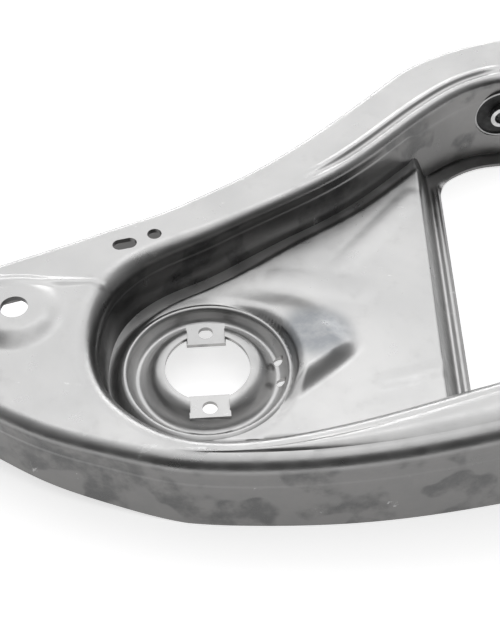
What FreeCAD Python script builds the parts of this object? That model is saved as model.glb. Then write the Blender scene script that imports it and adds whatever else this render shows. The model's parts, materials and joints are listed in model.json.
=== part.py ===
"""Stamped lower control arm with its two pivot bushings and its ball joint.

The frame: the origin is on the spring-seat axis, at the underside of the two shock
pads. +X runs inboard to the pivot axis, +Y runs forward along the pivots, +Z is up.
"""
import FreeCAD, Part
import math
import os
from FreeCAD import Vector

DIMENSIONS = {
    "sheet_gauge": 4.0,
    "skirt_low": -24.0,
    "deck_top": 40.0,
    "deck_slope": 0.088,
    "deck_blend": 60.0,
    "deck_blend_x": 20.0,
    "edge_round": 9.0,
    "plate_gauge": 4.0,
    "shelf_top": -4.0,
    "field_top": 4.0,
    "field_slope": 0.07,
    "lip_top": -19.5,
    "lip_band_end": 290.0,
    "leg_stop_end": 300.0,
    "lip_edge_x": 196.0,
    "edge_slant": 4.75,
    "ramp_x": 82.0,
    "ramp_y": 18.0,
    "ramp_radius": 42.0,
    "far_skirt_lift": 13.0,
    "ball_end_lift": 31.0,
    "seat_ring_radius": 60.0,
    "groove_floor": -5.0,
    "dome_radius": 44.0,
    "dome_top": 7.5,
    "shock_hole_radius": 31.0,
    "pad_top": 4.0,
    "pad_width": 28.0,
    "pad_tip": 24.0,
    "shock_bolt_spacing": 70.0,
    "shock_bolt_radius": 5.5,
    "drain_radius": 3.5,
    "pivot_x": 270.0,
    "front_y": 281.0,
    "rear_y": -74.0,
    "pivot_z": 25.0,
    "collar_length": 46.0,
    "collar_radius": 27.0,
    "bushing_radius": 23.3,
    "bushing_length": 58.0,
    "bushing_wall": 1.6,
    "rubber_inner_radius": 10.0,
    "sleeve_bore_radius": 6.5,
    "sleeve_length": 68.0,
    "ball_x": -200.0,
    "ball_y": 22.0,
    "ball_z": 35.0,
    "socket_radius": 19.05,
    "bearing_radius": 19.0,
    "half_ball_radius": 15.0,
    "stud_radius": 7.96,
    "thread_radius": 6.5,
    "housing_radius": 25.0,
    "sway_x": -136.0,
    "sway_y": 34.0,
    "sway_hole_radius": 10.0,
    "boss_radius": 36.0,
    "boss_height": 4.0,
}

# Foot of the outer wall: rear pivot, near leg, ball joint end, far leg, front pivot.
OUTER_SIDE = [(290, -97), (240, -105), (195, -111), (139, -117), (83, -119), (23, -116),
              (-28, -109), (-71, -96), (-114, -79), (-147, -60), (-180, -40), (-212, -24),
              (-236, -6), (-244, 20), (-236, 46), (-213, 64), (-182, 78), (-150, 91),
              (-106, 108), (-62, 126), (-30, 139), (2, 156), (33, 173), (66, 194),
              (101, 220), (129, 243), (158, 268), (182, 288), (210, 303), (245, 314),
              (288, 318)]
FRONT_END = [(309, 311), (318, 288), (309, 261)]
# Foot of the inner wall: along the far leg, round the pocket, back along the near leg.
INNER_SIDE = [(288, 252), (262, 250), (236, 243), (212, 229), (188, 211), (152, 181),
              (116, 155), (81, 136), (34, 113), (2, 97), (-29, 82), (-50, 66), (-65, 44),
              (-72, 14), (-71, -12), (-62, -36), (-45, -57), (-24, -72), (0, -80),
              (30, -82), (62, -80), (95, -76), (125, -71), (160, -64), (195, -57),
              (245, -50), (290, -48)]
REAR_END = [(309, -54), (317, -73), (309, -91)]


def make_sheet(doc):
    """Put every driving dimension in the spreadsheet under its own alias."""
    sheet = doc.addObject("Spreadsheet::Sheet", "dims")
    for row, (alias, value) in enumerate(DIMENSIONS.items(), start=1):
        sheet.set(f"A{row}", alias)
        sheet.set(f"B{row}", str(value))
        sheet.setAlias(f"B{row}", alias)
    doc.recompute()
    return sheet


def size(alias):
    """Read one driving dimension from the spreadsheet."""
    return float(DOC.getObject("dims").get(alias))


# ---------------------------------------------------------------- primitives


def bind(item, bindings):
    """Bind properties to spreadsheet expressions, or set plain lengths."""
    for prop, value in bindings.items():
        if isinstance(value, str):
            item.setExpression(prop, value)
        else:
            setattr(item, prop, value)


def place(item, x, y, z, tilt=None):
    """Place a primitive at spreadsheet expressions, turned from +Z to +Y when asked."""
    if tilt == "along_y":
        item.Placement.Rotation = FreeCAD.Rotation(Vector(1, 0, 0), -90)
    for axis, value in zip("xyz", (x, y, z)):
        item.setExpression(f"Placement.Base.{axis}", value)


def cylinder(name, radius, height, x, y, z, tilt=None):
    item = DOC.addObject("Part::Cylinder", name)
    bind(item, {"Radius": radius, "Height": height})
    place(item, x, y, z, tilt)
    return item


def cone(name, radius_low, radius_high, height, x, y, z):
    item = DOC.addObject("Part::Cone", name)
    bind(item, {"Radius1": radius_low, "Radius2": radius_high, "Height": height})
    place(item, x, y, z)
    return item


def sphere(name, radius, x, y, z):
    item = DOC.addObject("Part::Sphere", name)
    bind(item, {"Radius": radius})
    place(item, x, y, z)
    return item


def cut(name, base, tool):
    item = DOC.addObject("Part::Cut", name)
    item.Base = base
    item.Tool = tool
    return item


def common(name, base, tool):
    item = DOC.addObject("Part::Common", name)
    item.Base = base
    item.Tool = tool
    return item


def fuse(name, shapes):
    item = DOC.addObject("Part::MultiFuse", name)
    item.Shapes = shapes
    return item


# ---------------------------------------------------------------- plan outlines


def offset_points(points, distance, closed):
    """Move each point of a clockwise run outwards along its own normal."""
    moved = []
    count = len(points)
    for index, (x, y) in enumerate(points):
        before = points[index - 1] if closed or index > 0 else points[0]
        after = points[(index + 1) % count] if closed or index < count - 1 else points[-1]
        along = Vector(after[0] - before[0], after[1] - before[1], 0).normalize()
        moved.append((x - along.y * distance, y + along.x * distance))
    return moved


def ring_prism(distance, low, high):
    """Prism over the whole channel, its outline offset outwards by a distance."""
    moved = offset_points(OUTER_SIDE + FRONT_END + INNER_SIDE + REAR_END, distance, True)
    curve = Part.BSplineCurve()
    curve.interpolate([Vector(x, y, low) for x, y in moved], PeriodicFlag=True)
    face = Part.Face(Part.Wire([curve.toShape()]))
    return face.extrude(Vector(0, 0, high - low))


def gap_face(distance, level, end_x):
    """Face inside the channel's inner side, grown by a distance and closed at end_x."""
    side = offset_points(INNER_SIDE, -distance, False)
    curve = Part.BSplineCurve()
    curve.interpolate([Vector(x, y, level) for x, y in side])
    first = curve.value(curve.FirstParameter)
    last = curve.value(curve.LastParameter)
    closing = Part.makePolygon([last, Vector(end_x, last.y, level),
                                Vector(end_x, first.y, level), first])
    return Part.Face(Part.Wire([curve.toShape()] + closing.Edges))


def gap_prism(distance, low, high, end_x=345.0):
    """Prism over the pocket and the space between the legs."""
    return gap_face(distance, low, end_x).extrude(Vector(0, 0, high - low))


def slab(x_low, x_high, y_low, y_high, z_low, z_high):
    return Part.makeBox(x_high - x_low, y_high - y_low, z_high - z_low,
                        Vector(x_low, y_low, z_low))


def rod(radius, height, x, y, z, direction=Vector(0, 0, 1)):
    return Part.makeCylinder(radius, height, Vector(x, y, z), direction)


# ---------------------------------------------------------------- upper shell


def deck_profile(drop, ceiling):
    """Everything above the deck: level over the pocket, then rising to the pivots."""
    top = size("deck_top") - drop
    slope = size("deck_slope")
    blend = size("deck_blend")
    middle = size("deck_blend_x")
    reach = 400.0
    radius = blend / math.tan(math.atan(slope) / 2)
    sag = radius - math.sqrt(radius ** 2 - blend ** 2)
    level_end = Vector(middle - blend, -200, top)
    rise_start = Vector(middle + blend, -200, top + slope * blend)
    rise_end = Vector(reach, -200, top + slope * (reach - middle))
    blend_middle = Vector(middle, -200, top + sag)
    edges = [Part.makeLine(Vector(-reach, -200, top), level_end),
             Part.Arc(level_end, blend_middle, rise_start).toShape(),
             Part.makeLine(rise_start, rise_end)]
    corners = [rise_end, Vector(reach, -200, ceiling), Vector(-reach, -200, ceiling),
               Vector(-reach, -200, top)]
    outline = Part.Wire(edges + Part.makePolygon(corners).Edges)
    return Part.Face(outline).extrude(Vector(0, 700, 0))


def channel_body(inset, drop, edge_round, low):
    """Round-edged block that follows the whole channel."""
    ceiling = size("deck_top") + 60
    block = ring_prism(-inset, low, ceiling).cut(deck_profile(drop, ceiling + 1))
    deck_level = size("deck_top") - drop - 0.01
    rim = [edge for edge in block.Edges
           if edge.BoundBox.ZMin > deck_level and edge.BoundBox.XLength > 1]
    return block.makeFillet(edge_round, rim)


def upper_channel():
    """Inverted U channel of one gauge, open underneath."""
    gauge = size("sheet_gauge")
    low = size("skirt_low")
    outside = channel_body(0.0, 0.0, size("edge_round"), low)
    inside = channel_body(gauge, gauge, size("edge_round") - gauge, low - 1)
    return outside.cut(inside)


def side_cut(points, y_low, y_high):
    """Cutter drawn in side view as (x, z) corners and run across the arm."""
    corners = [Vector(x, y_low, z) for x, z in points]
    face = Part.Face(Part.makePolygon(corners + corners[:1]))
    return face.extrude(Vector(0, y_high - y_low, 0))


def trim_lower_edges(shell):
    """Stop the inner wall on the plate and lift the skirt at both far ends."""
    low = size("skirt_low")
    pocket_stop = gap_prism(14.0, low - 1, size("shelf_top"))
    pocket_stop = pocket_stop.common(slab(-120, 186, -130, 300, low - 2, 20))
    leg_stop = gap_prism(14.0, low - 1, size("lip_top"))
    leg_stop = leg_stop.common(slab(180, size("leg_stop_end"), -130, 345, low - 2, 20))
    ball_end = side_cut([(-270, low - 1), (-20, low - 1), (-20, low),
                         (-270, low + size("ball_end_lift"))], -150, 150)
    lift = low + size("far_skirt_lift")
    far_skirt = side_cut([(120, low - 1), (340, low - 1), (340, lift), (240, lift),
                          (120, low)], 268, 340)
    return shell.cut(pocket_stop).cut(leg_stop).cut(ball_end).cut(far_skirt)


def pivot_collars(shell):
    """Drawn collars that join the two walls of each leg and hold the bushings."""
    length = size("collar_length")
    along = Vector(0, 1, 0)
    for pivot_y in (size("front_y"), size("rear_y")):
        start = pivot_y - length / 2
        collar = rod(size("collar_radius"), length, size("pivot_x"), start,
                     size("pivot_z"), along)
        bore = rod(size("bushing_radius"), length + 30, size("pivot_x"), start - 15,
                   size("pivot_z"), along)
        shell = shell.fuse(collar).cut(bore)
    return shell


def ball_joint_flange(shell):
    """Drawn flange under the deck that the ball joint is pressed into."""
    x, y = size("ball_x"), size("ball_y")
    deck = size("deck_top")
    radius = size("housing_radius")
    shell = shell.fuse(rod(radius + 4, 20, x, y, deck - 20))
    return shell.cut(rod(radius, 80, x, y, deck - 60))


def sway_link_boss(shell):
    """Low drawn boss round the sway bar link hole."""
    gauge = size("sheet_gauge")
    x, y = size("sway_x"), size("sway_y")
    deck = size("deck_top")
    rise = size("boss_height")
    radius = size("boss_radius")
    upper = Part.makeCone(radius, radius - 14, rise, Vector(x, y, deck))
    under = Part.makeCone(radius - 2, radius - 16, rise, Vector(x, y, deck - gauge))
    bore = rod(size("sway_hole_radius"), 30, x, y, deck - 15)
    return shell.fuse(upper).cut(under).cut(bore)


def deck_bead(shell):
    """Long tapering bead beside the boss, towards the far edge of the deck."""
    deck = size("deck_top")
    bead = Part.makeCone(7, 1.5, 88, Vector(-164, 65, deck - 3.5), Vector(88, -5, 2.5))
    keep = slab(-180, -70, 40, 100, deck - 2, deck + 6)
    return shell.fuse(bead.common(keep))


def deck_openings(shell):
    """Slot and round hole for the bump stop."""
    low = size("deck_top") - 30
    slot = rod(5.5, 60, -61.5, 97, low).fuse(rod(5.5, 60, -54, 98.5, low))
    stop_hole = rod(5.5, 60, -35, 107, low)
    return shell.cut(slot.fuse(stop_hole))


def upper_shell():
    """The drawn upper half of the arm as one sheet metal solid."""
    shell = trim_lower_edges(upper_channel())
    shell = pivot_collars(shell)
    shell = ball_joint_flange(shell)
    shell = sway_link_boss(shell)
    shell = deck_bead(shell)
    return deck_openings(shell)


# ---------------------------------------------------------------- lower plate


def plate_edge(points):
    """Block drawn in side view and turned to run along the plate's slanted edge."""
    block = side_cut(points, -250, 450)
    block.rotate(Vector(points[1][0], 0, 0), Vector(0, 0, 1), -size("edge_slant"))
    return block


def plate_rim(drop, bottom):
    """Lip across the gap and the strips that close the legs' inner edges."""
    lip = size("lip_top") - drop
    edge_x = size("lip_edge_x")
    inboard = plate_edge([(-300, bottom), (edge_x, bottom), (edge_x, lip), (-300, lip)])
    crossing = gap_prism(9.0, bottom, lip).common(inboard)
    band = gap_prism(9.0, bottom, lip).cut(gap_prism(-13.0, bottom - 1, lip + 1))
    return crossing.fuse(band.common(slab(150, size("lip_band_end"), -130, 345, bottom, lip)))


def plate_field(shrink, drop, bottom):
    """Shelf at the foot of the pocket wall, the raised field and the end flange."""
    edge_x = size("lip_edge_x")
    shelf_top = size("shelf_top") - drop
    top = size("field_top") - drop
    climb = size("field_slope")
    shelf = gap_prism(9.0, bottom, shelf_top)
    field = gap_prism(-9.0 - shrink, bottom, 40)
    above = side_cut([(-200, top), (0, top), (330, top + 330 * climb), (330, 60),
                      (-200, 60)], -200, 400)
    foot = edge_x - 11 - shrink
    inboard = plate_edge([(-300, bottom), (foot, bottom), (foot, -20), (foot - 15, 5),
                          (foot - 15, 50), (-300, 50)])
    return shelf.fuse(field.cut(above)).common(inboard)


def revolved(profile):
    """Solid of revolution about the seat axis from (radius, height) corners."""
    corners = [Vector(radius, 0, level) for radius, level in profile]
    face = Part.Face(Part.makePolygon(corners + corners[:1]))
    return face.revolve(Vector(0, 0, 0), Vector(0, 0, 1), 360)


def spring_ramp(shrink, drop, bottom):
    """Raised ramp beside the ring, where the coil's next turn climbs."""
    field = size("field_top") - drop
    x, y = size("ramp_x"), size("ramp_y")
    radius = size("ramp_radius") - shrink
    ramp = Part.makeCone(radius, radius - 22, 14, Vector(x, y, field))
    body = rod(radius, field - bottom, x, y, bottom)
    inside = rod(size("seat_ring_radius") + shrink, 200, 0, 0, bottom - 1)
    return ramp.fuse(body).cut(inside)


def seat_groove(shrink, drop):
    """Spring groove round the seat."""
    ring = size("seat_ring_radius") + shrink
    floor = size("groove_floor") - drop
    top = size("field_top")
    return revolved([(0, floor), (ring - 6, floor), (ring, top), (ring, top + 40),
                     (0, top + 40)])


def seat_dome(shrink, drop, bottom):
    """Dome that stands inside the spring and carries the shock window."""
    foot = size("dome_radius") - shrink
    floor = size("groove_floor") - drop
    top = size("dome_top") - drop
    return revolved([(0, bottom), (foot, bottom), (foot, floor), (foot - 8, top), (0, top)])


def shock_pads(shrink, drop):
    """Blocks that lower the dome to the two flat pads, front and rear."""
    half = size("pad_width") / 2 + shrink
    top = size("pad_top") - drop
    front = slab(-half, half, 0, 46 + shrink, top, top + 20)
    return front.fuse(slab(-half, half, -46 - shrink, 0, top, top + 20))


def plate_form(shrink, drop, bottom):
    """Solid whose top is the pressed form, or the underside when shrunk by a gauge."""
    form = plate_rim(drop, bottom).fuse(plate_field(shrink, drop, bottom))
    form = form.fuse(spring_ramp(shrink, drop, bottom))
    form = form.cut(seat_groove(shrink, drop)).fuse(seat_dome(shrink, drop, bottom))
    return form.cut(shock_pads(shrink, drop))


def shock_window(bottom):
    """Round opening for the shock, left whole where the two pads reach in."""
    half = size("pad_width") / 2
    tip = size("pad_tip")
    window = rod(size("shock_hole_radius"), 200, 0, 0, bottom)
    front = slab(-half, half, tip, 60, bottom, 100)
    rear = slab(-half, half, -60, -tip, bottom, 100)
    return window.cut(front).cut(rear)


def lower_plate():
    """The pressed lower plate with the spring seat."""
    bottom = size("skirt_low") - 40
    gauge = size("plate_gauge")
    plate = plate_form(0.0, 0.0, bottom).cut(plate_form(gauge - 1, gauge, bottom - 1))
    plate = plate.cut(shock_window(bottom))
    half = size("shock_bolt_spacing") / 2
    for y in (half, -half):
        plate = plate.cut(rod(size("shock_bolt_radius"), 200, 0, y, bottom))
    for x, y in ((50, 10), (51, -10)):
        plate = plate.cut(rod(size("drain_radius"), 200, x, y, bottom))
    return plate.cut(slab(-300, 400, -200, 400, bottom - 2, size("skirt_low")))


def seam_weld(side):
    """Fillet weld under the plate rim, along one leg's inner wall."""
    points = [(x, y) for x, y in offset_points(INNER_SIDE, -9.0, False)]
    run = points[5:11] if side == "far" else points[18:24]
    level = size("shelf_top") - size("plate_gauge") / 2
    curve = Part.BSplineCurve()
    curve.interpolate([Vector(x, y, level) for x, y in run])
    spine = Part.Wire([curve.toShape()])
    start = curve.value(curve.FirstParameter)
    tangent = Vector(*curve.tangent(curve.FirstParameter)[0])
    section = Part.Wire([Part.makeCircle(1.9, start, tangent)])
    return spine.makePipeShell([section], True, False)


def sheet_part(label, shape):
    """Add a formed sheet part, which has no primitive or sketch of its own."""
    item = DOC.addObject("Part::Feature", label)
    item.Shape = shape
    item.Placement = FreeCAD.Placement()
    return item


# ---------------------------------------------------------------- pivot bushings


def tube_y(label, outer, inner, length, pivot_y):
    """Tube along the pivot axis, centred on one pivot."""
    start = f"dims.{pivot_y} - {length} / 2"
    body = cylinder(f"{label}_body", outer, length, "dims.pivot_x", start,
                    "dims.pivot_z", "along_y")
    bore = cylinder(f"{label}_bore", inner, length, "dims.pivot_x", start,
                    "dims.pivot_z", "along_y")
    return cut(label, body, bore)


def bushing(place_name, pivot_y):
    """One pivot bushing: outer shell, bonded rubber and inner sleeve."""
    length = "dims.bushing_length"
    shell_bore = "(dims.bushing_radius - dims.bushing_wall)"
    rubber_bore = "dims.rubber_inner_radius"
    shell = tube_y(f"{place_name}_bushing_shell", "dims.bushing_radius", shell_bore,
                   length, pivot_y)
    rubber = tube_y(f"{place_name}_bushing_rubber", shell_bore, rubber_bore,
                    f"({length} - 4)", pivot_y)
    sleeve = tube_y(f"{place_name}_bushing_sleeve", "(dims.rubber_inner_radius - 0.04)",
                    "dims.sleeve_bore_radius", "dims.sleeve_length", pivot_y)
    return [shell, rubber, sleeve]


# ---------------------------------------------------------------- ball joint


def above_ball(offset):
    """Expression for a height measured from the ball's centre."""
    return f"dims.ball_z + {offset}"


def ball_disc(name, radius, low, high):
    """Disc on the ball joint axis between two heights from the ball's centre."""
    return cylinder(name, radius, high - low, "dims.ball_x", "dims.ball_y",
                    above_ball(low))


def ball_cone(name, radius_low, radius_high, low, high):
    return cone(name, radius_low, radius_high, high - low, "dims.ball_x", "dims.ball_y",
                above_ball(low))


def ball_sphere(name, radius):
    return sphere(name, radius, "dims.ball_x", "dims.ball_y", "dims.ball_z")


def joint_housing():
    """Turned housing, pressed up into the deck flange against its shoulder."""
    outside = fuse("housing_outside", [
        ball_disc("housing_crimp", 27, -28, -21),
        ball_disc("housing_shoulder", 29, -21, -15),
        ball_disc("housing_land", "dims.housing_radius", -15, 8),
        ball_disc("housing_neck", 22.5, 8, 14)])
    inside = fuse("housing_inside", [
        ball_sphere("housing_socket", "dims.socket_radius"),
        ball_disc("housing_barrel", "dims.socket_radius", -24, 0),
        ball_disc("housing_cover_seat", 22, -26, -23.5),
        ball_disc("housing_crimp_mouth", 20, -30, -26),
        ball_disc("housing_throat", 16.3, 0, 15),
        ball_cone("housing_flare", 16.3, 17.9, 9.9, 15)])
    return cut("ball_joint_housing", outside, inside)


def swivel_bearing():
    """Spherical bearing shell between the housing and the half ball."""
    ball = ball_sphere("bearing_outside", "dims.bearing_radius")
    band = common("bearing_band", ball, ball_disc("bearing_height", 30, -9, 9))
    hollow = fuse("bearing_hollow", [
        ball_sphere("bearing_inside", "dims.half_ball_radius + 0.05"),
        ball_disc("bearing_mouth", 12.8, 5, 12)])
    return cut("swivel_bearing", band, hollow)


def half_ball():
    """Truncated ball that the stud turns in."""
    ball = ball_sphere("half_ball_sphere", "dims.half_ball_radius")
    band = common("half_ball_band", ball, ball_disc("half_ball_height", 20, -11, 11))
    return cut("half_ball", band, ball_disc("half_ball_bore", 8.0, -14, 14))


def ball_stud():
    """Headed stud with a taper for the knuckle and a thread, drilled for the pin."""
    head = common("stud_head", ball_sphere("stud_head_ball", "dims.half_ball_radius - 0.05"),
                  ball_disc("stud_head_height", 20, -14, -11.1))
    solid = fuse("stud_solid", [
        head,
        ball_disc("stud_shank", "dims.stud_radius", -11.1, 14),
        ball_cone("stud_collar", 7.96, 9.3, 14, 20),
        ball_cone("stud_taper", 9.3, 7.6, 20, 44),
        ball_disc("stud_thread", "dims.thread_radius", 44, 66)])
    pin_hole = cylinder("stud_pin_hole", 1.7, 20, "dims.ball_x", "dims.ball_y - 10",
                        above_ball(58), "along_y")
    return cut("ball_stud", solid, pin_hole)


def preload_parts():
    """Seat under the bearing, its rubber preload ring and the crimped cover."""
    seat = cut("pressure_seat", ball_disc("seat_blank", 18.9, -20, -12),
               ball_sphere("seat_dish", "dims.socket_radius + 0.05"))
    ring = cut("preload_ring", ball_disc("ring_blank", 17, -23.5, -20),
               ball_disc("ring_bore", 8, -24, -19))
    cover = cut("bottom_cover", ball_disc("cover_blank", 22, -26, -23.5),
                ball_disc("cover_hole", 3, -27, -23))
    return [seat, ring, cover]


def retaining_ring(label, radius, section, height):
    """Round wire ring that clamps one end of the dust boot."""
    item = DOC.addObject("Part::Torus", label)
    bind(item, {"Radius1": radius, "Radius2": section})
    place(item, "dims.ball_x", "dims.ball_y", above_ball(height))
    return item


def new_body(label):
    body = DOC.addObject("PartDesign::Body", label)
    return body


def plane_of(body, role):
    """One of the body's own origin planes, found by its role."""
    return next(item for item in body.Origin.OriginFeatures if item.Role == role)


def sketch_loop(body, name, plane, corners):
    """Sketch of straight lines through the corners, closed at the end."""
    sketch = body.newObject("Sketcher::SketchObject", name)
    sketch.AttachmentSupport = [(plane, "")]
    sketch.MapMode = "FlatFace"
    for start, stop in zip(corners, corners[1:] + corners[:1]):
        sketch.addGeometry(Part.LineSegment(Vector(*start, 0), Vector(*stop, 0)), False)
    return sketch


def revolve_body(label, profile):
    """Body turned about the ball joint axis from (radius, height) corners."""
    body = new_body(label)
    sketch = sketch_loop(body, f"{label}_profile", plane_of(body, "XZ_Plane"), profile)
    turn = body.newObject("PartDesign::Revolution", f"{label}_turned")
    turn.Profile = sketch
    turn.ReferenceAxis = (sketch, ["V_Axis"])
    turn.Angle = 360.0
    place(body, "dims.ball_x", "dims.ball_y", "dims.ball_z")
    return body


def dust_boot():
    """Convoluted rubber boot from the housing's neck up to the stud's taper."""
    outside = [(24.5, 8.3), (24.5, 11.2), (27.5, 14), (27, 17), (21, 19.5), (22, 22),
               (19, 25), (11, 27), (11, 31)]
    inside = [(9.5, 31), (9.5, 25.5), (17.5, 23.2), (19.2, 21.4), (18.8, 18.4),
              (24.6, 15.6), (25, 14.2), (22.6, 11.8), (22.6, 8.3)]
    return revolve_body("dust_boot", outside + inside)


def grease_fitting():
    """Grease nipple screwed into the bottom cover."""
    return revolve_body("grease_fitting", [
        (0, -22), (2.9, -22), (2.9, -26.2), (5, -26.2), (5, -29.5), (2.4, -30.5),
        (2.4, -32.5), (3.2, -33.5), (3.2, -35), (1.5, -36.5), (0, -36.5)])


def castle_nut():
    """Hexagon nut with six slots for the pin, on the stud's thread."""
    body = new_body("castle_nut")
    across = 24.0 / math.sqrt(3)
    corners = [(across * math.cos(math.radians(60 * step)),
                across * math.sin(math.radians(60 * step))) for step in range(6)]
    sketch = sketch_loop(body, "nut_hexagon", plane_of(body, "XY_Plane"), corners)
    sketch.addGeometry(Part.Circle(Vector(0, 0, 0), Vector(0, 0, 1),
                                   size("thread_radius")), False)
    pad = body.newObject("PartDesign::Pad", "nut_pad")
    pad.Profile = sketch
    pad.Length = 16.0
    half = 1.9
    slot = sketch_loop(body, "nut_slot", plane_of(body, "XY_Plane"),
                       [(5, -half), (16, -half), (16, half), (5, half)])
    slot.AttachmentOffset = FreeCAD.Placement(Vector(0, 0, 16), FreeCAD.Rotation())
    pocket = body.newObject("PartDesign::Pocket", "nut_slot_cut")
    pocket.Profile = slot
    pocket.Length = 6.5
    around = body.newObject("PartDesign::PolarPattern", "nut_slots")
    around.Originals = [pocket]
    around.Axis = (sketch, ["N_Axis"])
    around.Angle = 360.0
    around.Occurrences = 6
    body.Tip = around
    turned = FreeCAD.Rotation(Vector(0, 0, 1), 30)
    body.Placement = FreeCAD.Placement(Vector(0, 0, 0), turned)
    place(body, "dims.ball_x", "dims.ball_y", above_ball(45))
    return body


def cotter_pin():
    """Split pin through the stud and nut, with its eye and two opened legs."""
    def pin_bar(name, radius, length, y, z, tilt):
        return cylinder(name, radius, length, "dims.ball_x", f"dims.ball_y + {y}",
                        above_ball(z), tilt)
    shank = pin_bar("pin_shank", 1.5, 30, -14.5, 58, "along_y")
    eye = DOC.addObject("Part::Torus", "pin_eye")
    bind(eye, {"Radius1": 2.2, "Radius2": 1.1})
    eye.Placement.Rotation = FreeCAD.Rotation(Vector(0, 1, 0), 90)
    place(eye, "dims.ball_x", "dims.ball_y - 17", above_ball(58))
    leg_up = pin_bar("pin_leg_up", 1.1, 9, 15, 58, None)
    leg_down = pin_bar("pin_leg_down", 1.1, 9, 15, 49, None)
    return fuse("cotter_pin", [shank, eye, leg_up, leg_down])


# ---------------------------------------------------------------- assembly


def build_parts():
    """Make every sub-part and return the document objects, one per node."""
    parts = [sheet_part("upper_shell", upper_shell()),
             sheet_part("lower_plate", lower_plate()),
             sheet_part("far_seam_weld", seam_weld("far")),
             sheet_part("near_seam_weld", seam_weld("near"))]
    parts += bushing("front", "front_y")
    parts += bushing("rear", "rear_y")
    parts += [joint_housing(), swivel_bearing(), half_ball(), ball_stud()]
    parts += preload_parts()
    parts += [retaining_ring("lower_boot_ring", 25.35, 0.8, 9.8),
              retaining_ring("upper_boot_ring", 11.75, 0.7, 29)]
    parts += [dust_boot(), grease_fitting(), castle_nut(), cotter_pin()]
    return parts


def check_document():
    """Stop when any object of the document failed to recompute."""
    DOC.recompute()
    for item in DOC.Objects:
        if "Invalid" in item.State or "Error" in item.State:
            raise RuntimeError(f"{item.Name} failed: {item.State}")


def export_parts(parts):
    """Write each checked sub-part to its own STEP file."""
    os.makedirs("parts", exist_ok=True)
    for item in parts:
        item.Label = item.Name
        shape = item.Shape
        if shape.isNull() or not shape.isValid() or not shape.Solids:
            raise RuntimeError(f"{item.Label} has no valid solid")
        shape.exportStep(f"parts/{item.Label}.step")
        print(item.Label, len(shape.Solids), round(shape.Volume))


DOC = FreeCAD.newDocument("control_arm")
make_sheet(DOC)
PARTS = build_parts()
check_document()
export_parts(PARTS)
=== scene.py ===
"""Looks of the stamped control arm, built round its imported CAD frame."""
import json
import math
import bmesh
import bpy
import numpy as np
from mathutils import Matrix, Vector


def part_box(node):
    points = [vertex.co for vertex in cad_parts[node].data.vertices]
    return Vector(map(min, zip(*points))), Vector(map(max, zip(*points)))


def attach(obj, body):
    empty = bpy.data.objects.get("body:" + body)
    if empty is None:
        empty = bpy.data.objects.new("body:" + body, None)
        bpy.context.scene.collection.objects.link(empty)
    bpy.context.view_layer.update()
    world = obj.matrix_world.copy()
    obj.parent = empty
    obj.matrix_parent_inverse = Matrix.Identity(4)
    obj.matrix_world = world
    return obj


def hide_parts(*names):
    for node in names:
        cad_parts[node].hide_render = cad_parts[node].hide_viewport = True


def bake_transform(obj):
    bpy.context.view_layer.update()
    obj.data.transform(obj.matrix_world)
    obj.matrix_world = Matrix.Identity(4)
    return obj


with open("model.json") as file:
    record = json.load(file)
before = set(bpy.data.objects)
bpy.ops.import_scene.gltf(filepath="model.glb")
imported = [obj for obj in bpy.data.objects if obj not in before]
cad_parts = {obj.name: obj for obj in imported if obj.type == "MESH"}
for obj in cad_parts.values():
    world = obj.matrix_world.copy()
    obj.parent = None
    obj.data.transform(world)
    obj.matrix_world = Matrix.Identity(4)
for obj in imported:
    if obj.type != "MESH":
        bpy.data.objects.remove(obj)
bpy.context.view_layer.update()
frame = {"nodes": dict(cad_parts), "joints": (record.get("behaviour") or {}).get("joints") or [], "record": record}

MM = 0.001
ARM = "arm"

# ------------------------------------------------------------ places from the frame

SHELL_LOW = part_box("upper_shell")[0]
FLOOR_Z = SHELL_LOW.z
# The skirt stands this far clear of the floor, in mm.
RIM_CLEARANCE = 0.3
SKIRT_LOW = SHELL_LOW.z / MM + RIM_CLEARANCE
MOUNTS = {mount["name"]: mount for mount in frame["record"]["mounts"]}
JOINTS = {joint["name"]: joint for joint in frame["joints"]}


def mount_mm(name):
    """Place of a mount in millimetres."""
    return np.array(MOUNTS[name]["pos_m"]) / MM


SWAY = mount_mm("sway_bar_link")
STOP_HOLE = mount_mm("bump_stop_hole")
STOP_SLOT = mount_mm("bump_stop_slot")
BALL = np.array(JOINTS["stud_spin"]["pos_m"]) / MM

# ------------------------------------------------------------ plan of the channel, in mm

OUTER_SIDE = [(290, -97), (240, -105), (195, -111), (139, -117), (83, -119), (23, -116),
              (-28, -109), (-71, -96), (-114, -79), (-147, -60), (-180, -40), (-212, -24),
              (-236, -6), (-244, 20), (-236, 46), (-213, 64), (-182, 78), (-150, 91),
              (-106, 108), (-62, 126), (-30, 139), (2, 156), (33, 173), (66, 194),
              (101, 220), (129, 243), (158, 268), (182, 288), (210, 303), (245, 314),
              (288, 318)]
FRONT_END = [(309, 311), (318, 288), (309, 261)]
INNER_SIDE = [(288, 252), (262, 250), (236, 243), (212, 229), (188, 211), (152, 181),
              (116, 155), (81, 136), (34, 113), (2, 97), (-29, 82), (-50, 66), (-65, 44),
              (-72, 14), (-71, -12), (-62, -36), (-45, -57), (-24, -72), (0, -80),
              (30, -82), (62, -80), (95, -76), (125, -71), (160, -64), (195, -57),
              (245, -50), (290, -48)]
REAR_END = [(309, -54), (317, -73), (309, -91)]
OUTLINE = OUTER_SIDE + FRONT_END + INNER_SIDE + REAR_END
LAST_OUTER = 30
FIRST_INNER = 34
LAST_INNER = 60

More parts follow.
